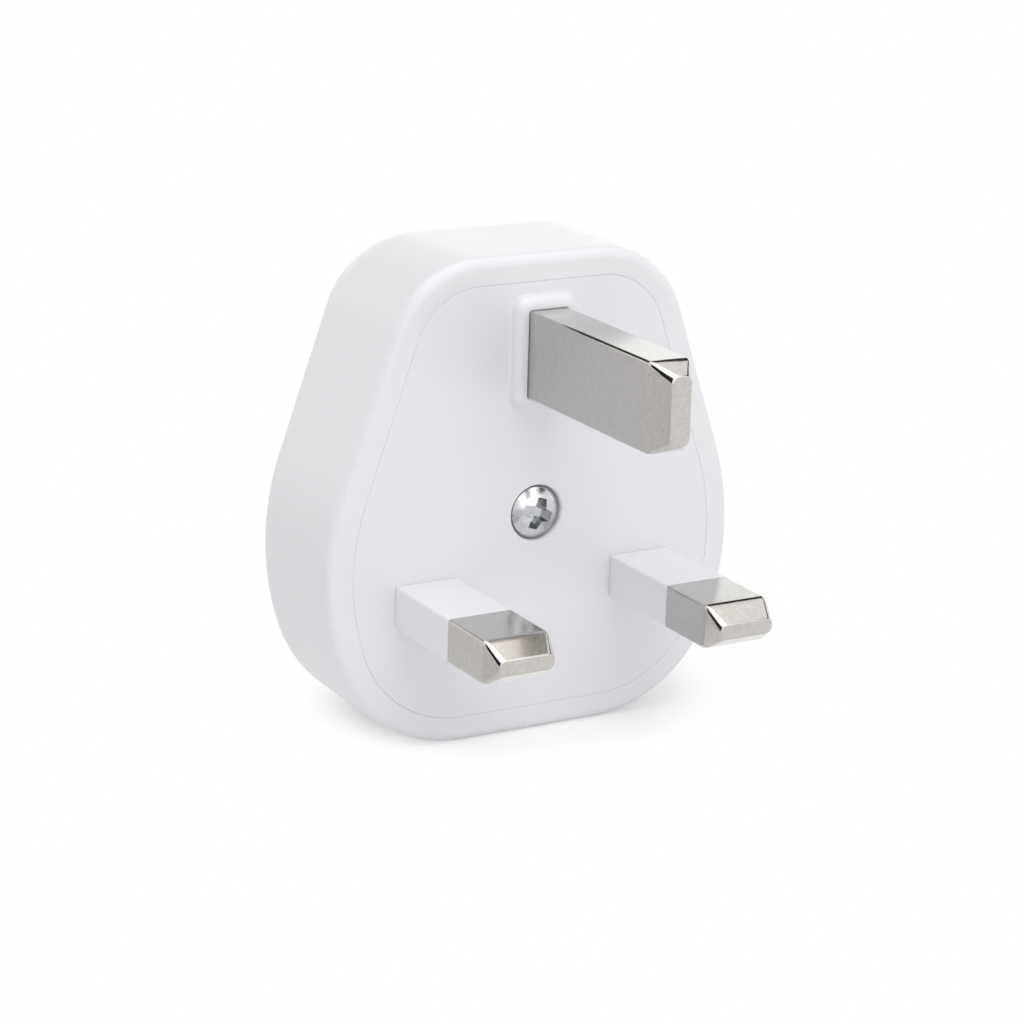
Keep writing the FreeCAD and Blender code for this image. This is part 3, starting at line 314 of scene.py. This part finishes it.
def surface(name, first, second, patches, rough, grain,
            metal=0.0, stretch=(1, 1, 1), depth=0.000001, coat=0.0):
    """A material with a drifting colour, an uneven gloss and a fine grained surface.

    The colour drifts between first and second, and the roughness between the two numbers of rough.
    patches and grain are waves per metre; depth is the grain's height in metres.
    """
    material = bpy.data.materials.new(name)
    tree = emptied_tree(material)
    output = add(tree, "ShaderNodeOutputMaterial")
    shader = add(tree, "ShaderNodeBsdfPrincipled")
    link(tree, shader.outputs["BSDF"], output.inputs["Surface"])
    place = add(tree, "ShaderNodeTexCoord").outputs["Object"]
    drift = noise(tree, place, patches, DRIFT_DETAIL)
    link(tree, blend(tree, drift, first, second), shader.inputs["Base Color"])
    fine = noise(tree, place, grain, GRAIN_DETAIL, stretch)
    link(tree, ramp(tree, fine, *rough), shader.inputs["Roughness"])
    bump = add(tree, "ShaderNodeBump")
    bump.inputs["Strength"].default_value = GRAIN_STRENGTH
    bump.inputs["Distance"].default_value = depth
    link(tree, fine, bump.inputs["Height"])
    link(tree, bump.outputs["Normal"], shader.inputs["Normal"])
    shader.inputs["Metallic"].default_value = metal
    shader.inputs["Specular IOR Level"].default_value = SPECULAR_LEVEL
    shader.inputs["Coat Weight"].default_value = coat
    shader.inputs["Coat Roughness"].default_value = COAT_ROUGHNESS
    shader.inputs["Coat IOR"].default_value = COAT_INDEX
    return material


def materials():
    """One finish for each of the record's material slots."""
    return {
        "white_cover": surface("moulded_cover", first=(0.86, 0.86, 0.885), second=(0.87, 0.87, 0.895),
                               patches=60, rough=(0.32, 0.38), grain=700),
        "white_base": surface("moulded_base", first=(0.85, 0.85, 0.89), second=(0.86, 0.86, 0.90),
                              patches=70, rough=(0.30, 0.36), grain=700),
        "white_sleeve": surface("pin_sleeve", first=(0.86, 0.86, 0.885), second=(0.87, 0.87, 0.895),
                                patches=90, rough=(0.30, 0.36), grain=900),
        "nickel_pins": surface("nickel_plate", first=(0.405, 0.385, 0.355), second=(0.45, 0.43, 0.40),
                               patches=2300, rough=(0.12, 0.22), grain=6500,
                               metal=1.0, stretch=(1, 0.4, 1), depth=0.000002, coat=1.0),
        "nickel_caps": surface("cap_plate", first=(0.60, 0.60, 0.60), second=(0.68, 0.67, 0.66),
                               patches=300, rough=(0.2, 0.34), grain=1600,
                               metal=1.0, stretch=(1, 1, 0.1), depth=0.000003),
        "zinc_screw": surface("zinc_plate", first=(0.50, 0.51, 0.53), second=(0.60, 0.61, 0.63),
                              patches=900, rough=(0.14, 0.26), grain=2600, metal=1.0, depth=0.000006),
        "brass_parts": surface("pressed_brass", first=(0.62, 0.43, 0.17), second=(0.72, 0.53, 0.24),
                               patches=320, rough=(0.22, 0.38), grain=1800, metal=1.0, depth=0.000004),
        "fuse_ceramic": surface("fuse_ceramic", first=(0.72, 0.70, 0.64), second=(0.80, 0.78, 0.72),
                                patches=260, rough=(0.42, 0.6), grain=1400, depth=0.000008),
        "grip_plastic": surface("grip_nylon", first=(0.66, 0.66, 0.64), second=(0.72, 0.72, 0.70),
                                patches=240, rough=(0.4, 0.52), grain=1700, depth=0.000008),
        "fibre": surface("washer_fibre", first=(0.32, 0.12, 0.06), second=(0.42, 0.19, 0.10),
                         patches=700, rough=(0.62, 0.8), grain=2500, depth=0.00002),
    }


def dress_nodes(finishes):
    """Gives each node its slot's finish."""
    for node in frame["nodes"].values():
        for spot in node.material_slots:
            slot_name = spot.material.name.split(".")[0]
            spot.material = finishes[slot_name]


def turn_steps(start, end, steps):
    """Angles from start to end, both included."""
    return [start + (end - start) * index / steps for index in range(steps + 1)]


def body_outline():
    """The plug's outline seen from the pin side, as points with their outward directions."""
    side_x = HALF_WIDTH - SIDE_RADIUS
    rise = TOP - TOP_CORNER - WIDEST
    upper_x = side_x + (SIDE_RADIUS - TOP_CORNER - rise * math.sin(SIDE_LEAN)) / math.cos(SIDE_LEAN)
    fall = BOTTOM_CORNER - WIDEST
    lower_x = side_x + math.sqrt((SIDE_RADIUS - BOTTOM_CORNER) ** 2 - fall ** 2)
    low = math.atan2(fall, lower_x - side_x)
    right = []
    for centre, radius, start, end, steps in (
        ((lower_x, BOTTOM_CORNER), BOTTOM_CORNER, -QUARTER, low, 26),
        ((side_x, WIDEST), SIDE_RADIUS, low, SIDE_LEAN, 18),
        ((upper_x, TOP - TOP_CORNER), TOP_CORNER, SIDE_LEAN, QUARTER, 26),
    ):
        for angle in turn_steps(start, end, steps):
            away = Vector((math.cos(angle), math.sin(angle)))
            right.append((Vector(centre) + away * radius, away))
    left = [(Vector((-point.x, point.y)), Vector((-away.x, away.y))) for point, away in reversed(right)]
    return right + left


def outline_rings(profile):
    """The body's outline once for each depth and inset of a profile."""
    outline = body_outline()
    rings = []
    for depth, inset in profile:
        moved = [point - away * inset for point, away in outline]
        rings.append([Vector((point.x, FACE + depth, point.y)) for point in moved])
    return rings


def slot_ring(centre, half, corner, depth, grow=0.0):
    """A rounded rectangle about a centre, grown all round, at a depth."""
    radius = max(corner + grow, LEAST_CORNER)
    points = []
    for index, (side_x, side_z) in enumerate([(1, 1), (-1, 1), (-1, -1), (1, -1)]):
        middle_x = centre[0] + side_x * (half[0] + grow - radius)
        middle_z = centre[1] + side_z * (half[1] + grow - radius)
        for angle in turn_steps(index * QUARTER, (index + 1) * QUARTER, steps=5):
            points.append(Vector((middle_x + radius * math.cos(angle), FACE + depth,
                                  middle_z + radius * math.sin(angle))))
    return points


def round_ring(centre, radius, depth, steps=72):
    """A circle about a centre, facing the pins, at a depth."""
    angles = turn_steps(0, 2 * math.pi, steps)[:-1]
    return [Vector((centre[0] + radius * math.cos(angle), FACE + depth,
                    centre[1] + radius * math.sin(angle))) for angle in angles]


def add_loft(shape, rings):
    """A closed skin over rings of equally many points, capped at both ends."""
    rows = [[shape.verts.new(point * MM) for point in ring] for ring in rings]
    count = len(rows[0])
    for lower, upper in zip(rows, rows[1:]):
        for index in range(count):
            following = (index + 1) % count
            shape.faces.new((lower[index], lower[following], upper[following], upper[index]))
    shape.faces.new(list(reversed(rows[0])))
    shape.faces.new(rows[-1])


def add_box(shape, centre, sides, start, end):
    """A plain block that stays hidden inside the plug, from one depth to another.

    sides says how far it goes left, right, down and up of a centre.
    """
    left, right, down, up = sides
    corners = [(-left, -down), (right, -down), (right, up), (-left, up)]
    add_loft(shape, [[Vector((centre[0] + x, FACE + depth, centre[1] + z)) for x, z in corners]
                     for depth in (start, end)])


def link_mesh(name, shape):
    """An object from a finished shape, its faces turned outwards."""
    bmesh.ops.recalc_face_normals(shape, faces=shape.faces)
    mesh = bpy.data.meshes.new(name)
    shape.to_mesh(mesh)
    shape.free()
    return add_object(name, mesh)


def loft_piece(name, rings):
    """An object that is one closed skin over rings."""
    shape = bmesh.new()
    add_loft(shape, rings)
    return link_mesh(name, shape)


def combine(piece, other, operation):
    """Joins or cuts a piece with another, which goes."""
    change = piece.modifiers.new("combine", "BOOLEAN")
    change.operation = operation
    change.solver = "EXACT"
    change.object = other
    bpy.context.view_layer.update()
    graph = bpy.context.evaluated_depsgraph_get()
    result = bpy.data.meshes.new_from_object(piece.evaluated_get(graph))
    piece.modifiers.clear()
    old = piece.data
    piece.data = result
    bpy.data.meshes.remove(old)
    bpy.data.objects.remove(other)


def finish_piece(piece, node, slot_name, finishes, crisp=CRISP):
    """Smooth shading broken at crisp edges, the finish of a slot, and the node that the piece stands for."""
    mesh = piece.data
    for polygon in mesh.polygons:
        polygon.use_smooth = True
    mesh.set_sharp_from_angle(angle=math.radians(crisp))
    weighted = piece.modifiers.new("even_normals", "WEIGHTED_NORMAL")
    weighted.keep_sharp = True
    mesh.materials.clear()
    mesh.materials.append(finishes[slot_name])
    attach(piece, "root")
    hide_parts(node)


def rounded(start, way, radius, steps):
    """Depth and inset pairs round a quarter turn that eases an edge of the face.

    The inset grows from the start where way is 1, and shrinks where it is -1.
    """
    pairs = []
    for angle in turn_steps(0, QUARTER, steps):
        depth = radius * (1 - math.sin(angle))
        inset = radius * (1 - math.cos(angle))
        pairs.append((depth, start + way * inset))
    return pairs


def back_curve():
    """Depth and inset pairs of the smooth back, a cubic curve that follows the solid's three slopes."""
    controls = [Vector(pair) for pair in BACK_CURVE]
    pairs = []
    for part in turn_steps(0, 1, steps=14):
        rest = 1 - part
        weights = (rest ** 3, 3 * rest ** 2 * part, 3 * rest * part ** 2, part ** 3)
        pairs.append(sum((control * weight for control, weight in zip(controls, weights)), Vector((0, 0))))
    return [tuple(pair) for pair in pairs]


def cover_piece():
    """The cover as one thick shell: hollow, rebate for the base, rounded rim, walls, back and cord entry."""
    profile = [(BODY_DEPTH - BACK_WALL, COVER_WALL + HOLLOW_TAPER), (WALL_DEPTH, COVER_WALL)]
    profile += [(PLATE_DEPTH, COVER_WALL), (PLATE_DEPTH, RIM)]
    profile += rounded(RIM, -1, SEAM_EASE, steps=3)
    profile += rounded(0, 1, RIM_EASE, steps=8)[::-1]
    profile += back_curve()
    piece = loft_piece("cover_shell", outline_rings(profile))
    rings = []
    for height, wider in ENTRY_MOUTH:
        circle = round_ring((0, 0), ENTRY_RADIUS + wider, 0)
        rings.append([Vector((point.x, FACE + ENTRY_DEPTH + point.z, height)) for point in circle])
    combine(piece, loft_piece("entry_cutter", rings), "DIFFERENCE")
    return piece


def collar_piece():
    """The raised collar round the earth pin: a soft foot, a short wall and a well rounded top edge."""
    pairs = [(COLLAR_ROOT, COLLAR_FOOT)]
    for angle in turn_steps(0, QUARTER, steps=6)[:-1]:
        pairs.append((COLLAR_SINK - COLLAR_FOOT * (1 - math.cos(angle)), COLLAR_FOOT * (1 - math.sin(angle))))
    for angle in turn_steps(0, QUARTER, steps=7):
        pairs.append((COLLAR_EASE - COLLAR_RISE - COLLAR_EASE * math.sin(angle),
                      -COLLAR_EASE * (1 - math.cos(angle))))
    half = [side + COLLAR_MARGIN for side in EARTH_HALF]
    return loft_piece("collar", [slot_ring(EARTH_CENTRE, half, COLLAR_CORNER, *pair) for pair in pairs])


def base_piece():
    """The base: a flush plate with its collar, pin openings and screw recess, and the cord saddle behind."""
    profile = [(PLATE_DEPTH, RIM + SEAM)] + rounded(RIM + SEAM, 1, SEAM_EASE, steps=3)
    piece = loft_piece("base_plate", outline_rings(profile))
    combine(piece, collar_piece(), "UNION")
    for centre, half, mouth, lip in (
        (EARTH_CENTRE, EARTH_HALF, -COLLAR_RISE, EARTH_LIP),
        (LIVE_CENTRE, LINE_HALF, 0, LINE_LIP),
        (NEUTRAL_CENTRE, LINE_HALF, 0, LINE_LIP),
    ):
        steps = ((mouth - LIP_FLARE, lip + LIP_FLARE), (mouth + lip, 0), (CUT_END, 0))
        rings = [slot_ring(centre, half, PIN_EASE, depth, PIN_GAP + grow) for depth, grow in steps]
        combine(piece, loft_piece("opening", rings), "DIFFERENCE")
    recess = [round_ring(SCREW_CENTRE, RECESS_RADIUS + wider, depth) for depth, wider in RECESS_MOUTH]
    combine(piece, loft_piece("recess", recess), "DIFFERENCE")
    hole = [round_ring(SCREW_CENTRE, SHANK_HOLE, depth) for depth in (CUT_START, CUT_END)]
    combine(piece, loft_piece("hole", hole), "DIFFERENCE")
    combine(piece, saddle_piece(), "UNION")
    return piece


def saddle_piece():
    """The grooved block behind the plate that the cord would lie in, its front just inside the plate."""
    front = PLATE_DEPTH - SADDLE_OVERLAP
    half = [(SADDLE_HALF, front), (SADDLE_HALF, ENTRY_DEPTH)]
    for angle in turn_steps(0, math.pi, steps=16):
        half.append((GROOVE_RADIUS * math.cos(angle), ENTRY_DEPTH - GROOVE_RADIUS * math.sin(angle)))
    half += [(-SADDLE_HALF, ENTRY_DEPTH), (-SADDLE_HALF, front)]
    return loft_piece("saddle", [[Vector((x, FACE + depth, z)) for x, depth in half]
                                 for z in (SADDLE_BOTTOM, SADDLE_TOP)])


def pin_rings(centre, half, start, reach, tip):
    """A pin from start to end: full section, four faces that taper in, and a flat end, all edges rounded."""
    rings = [slot_ring(centre, half, PIN_EASE, start)]
    places = [TIP_BLEND * part for part in turn_steps(-1, 1, steps=6)]
    places += [TIP_LENGTH - END_EASE * (1 - math.sin(angle)) for angle in turn_steps(0, QUARTER, steps=4)]
    for place in places:
        taper = place if place > TIP_BLEND else (place + TIP_BLEND) ** 2 / (4 * TIP_BLEND)
        over = max(place - TIP_LENGTH + END_EASE, 0) / END_EASE
        eased = END_EASE * (1 - math.sqrt(max(1 - over * over, 0)))
        section = [side - inwards * taper / TIP_LENGTH - eased for side, inwards in zip(half, tip)]
        corner = PIN_EASE + (TIP_CORNER - PIN_EASE) * (place + TIP_BLEND) / (TIP_LENGTH + TIP_BLEND)
        corner = min(corner, TIP_CORNER_SHARE * min(section))
        rings.append(slot_ring(centre, section, corner, TIP_LENGTH - reach - place))
    return rings


def earth_piece():
    """The earth pin with its block behind the base."""
    shape = bmesh.new()
    add_loft(shape, pin_rings(EARTH_CENTRE, EARTH_HALF, PLATE_DEPTH, EARTH_REACH, EARTH_TIP))
    sides, end = EARTH_BLOCK
    add_box(shape, EARTH_CENTRE, sides, PLATE_DEPTH, end)
    return link_mesh("earth_blade", shape)


def line_piece(name, centre, block):
    """A line pin with its sleeve's neck, and the block behind the base."""
    shape = bmesh.new()
    add_loft(shape, pin_rings(centre, LINE_HALF, -SLEEVE_REACH, LINE_REACH, LINE_TIP))
    wide, tall = NECK_HALF
    add_box(shape, centre, (wide, wide, tall, tall), -SLEEVE_REACH, PLATE_DEPTH)
    sides, end = block
    add_box(shape, centre, sides, PLATE_DEPTH, end)
    return link_mesh(name, shape)


def sleeve_piece(name, centre):
    """A sleeve as a rounded tube, its outer end just eased where it meets the metal."""
    rings = [slot_ring(centre, LINE_HALF, PIN_EASE, SLEEVE_ROOT)]
    for before, grow in SLEEVE_END:
        rings.append(slot_ring(centre, LINE_HALF, PIN_EASE, before - SLEEVE_REACH, grow))
    piece = loft_piece(name, rings)
    depths = (CUT_END, CUT_START - SLEEVE_REACH)
    bore = [slot_ring(centre, BORE_HALF, BORE_CORNER, depth) for depth in depths]
    combine(piece, loft_piece("sleeve_bore", bore), "DIFFERENCE")
    return piece


def screw_piece():
    """The domed screw head with its tapered cross recess, and the shank behind."""
    sphere = (HEAD_RADIUS ** 2 + HEAD_DOME ** 2) / (2 * HEAD_DOME)
    pairs = list(SCREW_SIDE)
    for angle in turn_steps(math.asin(HEAD_RADIUS / sphere), DOME_END, steps=14):
        pairs.append((HEAD_TOP + sphere * (1 - math.cos(angle)), sphere * math.sin(angle) * DOME_SHARE))
    rings = [round_ring(SCREW_CENTRE, radius, depth) for depth, radius in pairs]
    piece = loft_piece("cover_screw_head", rings)
    for angle in (CROSS_TURN, CROSS_TURN + QUARTER):
        combine(piece, loft_piece("cross", [cross_ring(angle, *bar) for bar in SCREW_CROSS]), "DIFFERENCE")
    return piece


def cross_ring(angle, depth, reach, half):
    """One bar of the driver's cross at a depth, its ends narrower than its middle."""
    narrow = half * CROSS_TAPER
    corners = [(reach, narrow), (0, half), (-reach, narrow), (-reach, -narrow), (0, -half), (reach, -narrow)]
    middle_x, middle_z = SCREW_CENTRE
    return [Vector((middle_x + across * math.cos(angle) - up * math.sin(angle), FACE + depth,
                    middle_z + across * math.sin(angle) + up * math.cos(angle))) for across, up in corners]


def visible_pieces(finishes):
    """The pieces that show, each in the place of its solid."""
    finish_piece(cover_piece(), "cover", "white_cover", finishes)
    finish_piece(base_piece(), "base", "white_base", finishes)
    finish_piece(earth_piece(), "earth_pin", "nickel_pins", finishes, PIN_CRISP)
    neutral = line_piece("neutral_blade", NEUTRAL_CENTRE, NEUTRAL_BLOCK)
    finish_piece(neutral, "neutral_pin", "nickel_pins", finishes, PIN_CRISP)
    live = line_piece("live_blade", LIVE_CENTRE, LIVE_BLOCK)
    finish_piece(live, "live_pin", "nickel_pins", finishes, PIN_CRISP)
    neutral_tube = sleeve_piece("neutral_cover_sleeve", NEUTRAL_CENTRE)
    finish_piece(neutral_tube, "neutral_sleeve", "white_sleeve", finishes)
    live_tube = sleeve_piece("live_cover_sleeve", LIVE_CENTRE)
    finish_piece(live_tube, "live_sleeve", "white_sleeve", finishes)
    finish_piece(screw_piece(), "cover_screw", "zinc_screw", finishes, SCREW_CRISP)


def thin_mesh(name, corners, sides):
    """A mesh without thickness, from corners in metres and the sides between them."""
    mesh = bpy.data.meshes.new(name)
    mesh.from_pydata(corners, [], sides)
    return mesh


def level_mesh(name, left, front, right, back, height):
    """One flat rectangle that lies level."""
    corners = [(left, front, height), (right, front, height), (right, back, height), (left, back, height)]
    return thin_mesh(name, corners, [(0, 1, 2, 3)])


def mixed(tree, share, first, second):
    """The first shader where the share is 0, the second where it is 1."""
    both = add(tree, "ShaderNodeMixShader")
    link(tree, share, both.inputs["Fac"])
    link(tree, first, both.inputs[1])
    link(tree, second, both.inputs[2])
    return both.outputs["Shader"]


def diffuse(tree, colour):
    """A plain matt shader of one colour."""
    shader = add(tree, "ShaderNodeBsdfDiffuse")
    shader.inputs["Color"].default_value = colour
    return shader.outputs["BSDF"]


def shade_fade(tree):
    """From 0 near the plug to 1 beyond the oval that shows its shadow."""
    oval = add(tree, "ShaderNodeMapping")
    oval.inputs["Scale"].default_value = SHADE_SCALE
    link(tree, add(tree, "ShaderNodeTexCoord").outputs["Object"], oval.inputs["Vector"])
    distance = add(tree, "ShaderNodeVectorMath", operation="DISTANCE")
    link(tree, oval.outputs["Vector"], distance.inputs[0])
    distance.inputs[1].default_value = SHADE_CENTRE
    fade = add(tree, "ShaderNodeMapRange", interpolation_type="SMOOTHSTEP")
    link(tree, distance.outputs["Value"], fade.inputs["Value"])
    fade.inputs["From Min"].default_value = SHADE_FULL
    fade.inputs["From Max"].default_value = SHADE_GONE
    return fade.outputs["Result"]


def floor():
    """A pale floor that reads as white to the camera and to glossy metal, and keeps the plug's soft shadow.

    It fades to plain white away from the plug, and from below it doesn't hide the plug.
    """
    material = bpy.data.materials.new("floor_white")
    tree = emptied_tree(material)
    glow = add(tree, "ShaderNodeEmission")
    glow.inputs["Strength"].default_value = SHADE_GLOW
    near = add(tree, "ShaderNodeAddShader")
    link(tree, diffuse(tree, SHADE_COLOUR), near.inputs[0])
    link(tree, glow.outputs["Emission"], near.inputs[1])
    white = add(tree, "ShaderNodeEmission").outputs["Emission"]
    seen = mixed(tree, shade_fade(tree), near.outputs["Shader"], white)
    both = mixed(tree, seen_directly(tree), diffuse(tree, FLOOR_COLOUR), seen)
    below = add(tree, "ShaderNodeNewGeometry").outputs["Backfacing"]
    clear = add(tree, "ShaderNodeBsdfTransparent").outputs["BSDF"]
    output = add(tree, "ShaderNodeOutputMaterial")
    link(tree, mixed(tree, below, both, clear), output.inputs["Surface"])
    mesh = level_mesh("floor", -FLOOR_HALF, -FLOOR_HALF, FLOOR_HALF, FLOOR_HALF, FLOOR_HEIGHT)
    mesh.materials.append(material)
    piece = add_object("floor", mesh)


def by_ray(tree, camera, glossy, other):
    """One strength for the camera's rays, one for reflections and one for all other light."""
    path = add(tree, "ShaderNodeLightPath")
    total = add(tree, "ShaderNodeMath", operation="MULTIPLY_ADD")
    link(tree, path.outputs["Is Camera Ray"], total.inputs[0])
    total.inputs[1].default_value = camera - other
    total.inputs[2].default_value = other
    result = add(tree, "ShaderNodeMath", operation="MULTIPLY_ADD")
    link(tree, path.outputs["Is Glossy Ray"], result.inputs[0])
    result.inputs[1].default_value = glossy - other
    link(tree, total.outputs["Value"], result.inputs[2])
    return result.outputs["Value"]


def seen_directly(tree):
    """1 for rays from the camera and from mirrors and glass, 0 for all other light."""
    path = add(tree, "ShaderNodeLightPath")
    either = add(tree, "ShaderNodeMath", operation="MAXIMUM")
    link(tree, path.outputs["Is Camera Ray"], either.inputs[0])
    link(tree, path.outputs["Is Glossy Ray"], either.inputs[1])
    any_of = add(tree, "ShaderNodeMath", operation="MAXIMUM")
    link(tree, either.outputs["Value"], any_of.inputs[0])
    link(tree, path.outputs["Is Transmission Ray"], any_of.inputs[1])
    return any_of.outputs["Value"]


def reflected_card(name, mesh, shade):
    """A plain card of one shade that only glossy surfaces reflect."""
    material = bpy.data.materials.new(name)
    tree = emptied_tree(material)
    glow = add(tree, "ShaderNodeEmission")
    glow.inputs["Color"].default_value = (shade, shade, shade, 1)
    link(tree, glow.outputs["Emission"], add(tree, "ShaderNodeOutputMaterial").inputs["Surface"])
    mesh.materials.append(material)
    piece = add_object(name, mesh)
    for kind in ("camera", "diffuse", "shadow", "transmission", "volume_scatter"):
        setattr(piece, f"visible_{kind}", False)


def dark_arc(name, start, end, low, high):
    """A curved wall 1 m away, between two angles and two heights: the dim room beyond the white sweep."""
    turns = turn_steps(math.radians(start), math.radians(end), ARC_STEPS)
    corners = [(math.cos(turn), math.sin(turn), height) for height in (low, high) for turn in turns]
    row = len(turns)
    sides = [(index, index + 1, index + row + 1, index + row) for index in range(ARC_STEPS)]
    reflected_card(name, thin_mesh(name, corners, sides), ARC_SHADE)


def reflections():
    """The dim room and the uneven table that the pins and the screw reflect."""
    for name, arc in DARK_ARCS.items():
        dark_arc(name, *arc)
    for name, (left, front, right, back, shade) in TABLE_CARDS.items():
        reflected_card(name, level_mesh(name, left, front, right, back, CARD_HEIGHT), shade)


def world():
    """A white surround for the camera, a brighter one for reflections, and a softer even light."""
    sky = bpy.data.worlds.new("studio")
    bpy.context.scene.world = sky
    tree = emptied_tree(sky)
    output = add(tree, "ShaderNodeOutputWorld")
    background = add(tree, "ShaderNodeBackground")
    background.inputs["Color"].default_value = (1, 1, 1, 1)
    link(tree, by_ray(tree, *WORLD_STRENGTHS), background.inputs["Strength"])
    link(tree, background.outputs["Background"], output.inputs["Surface"])


def lights():
    """Soft square area lights that point at the plug."""
    for name, (place, width, power, mirrored) in LAMPS.items():
        data = bpy.data.lights.new(name, "AREA")
        data.shape = "SQUARE"
        data.size = width
        data.energy = power
        piece = add_object(name, data)
        piece.location = place
        towards = Vector(LAMP_TARGET) - Vector(place)
        piece.rotation_euler = towards.to_track_quat("-Z", "Y").to_euler()
        piece.visible_glossy = mirrored


bpy.context.scene.view_settings.view_transform = "Standard"
place_camera()
world()
lights()
floor()
reflections()
finishes = materials()
dress_nodes(finishes)
visible_pieces(finishes)
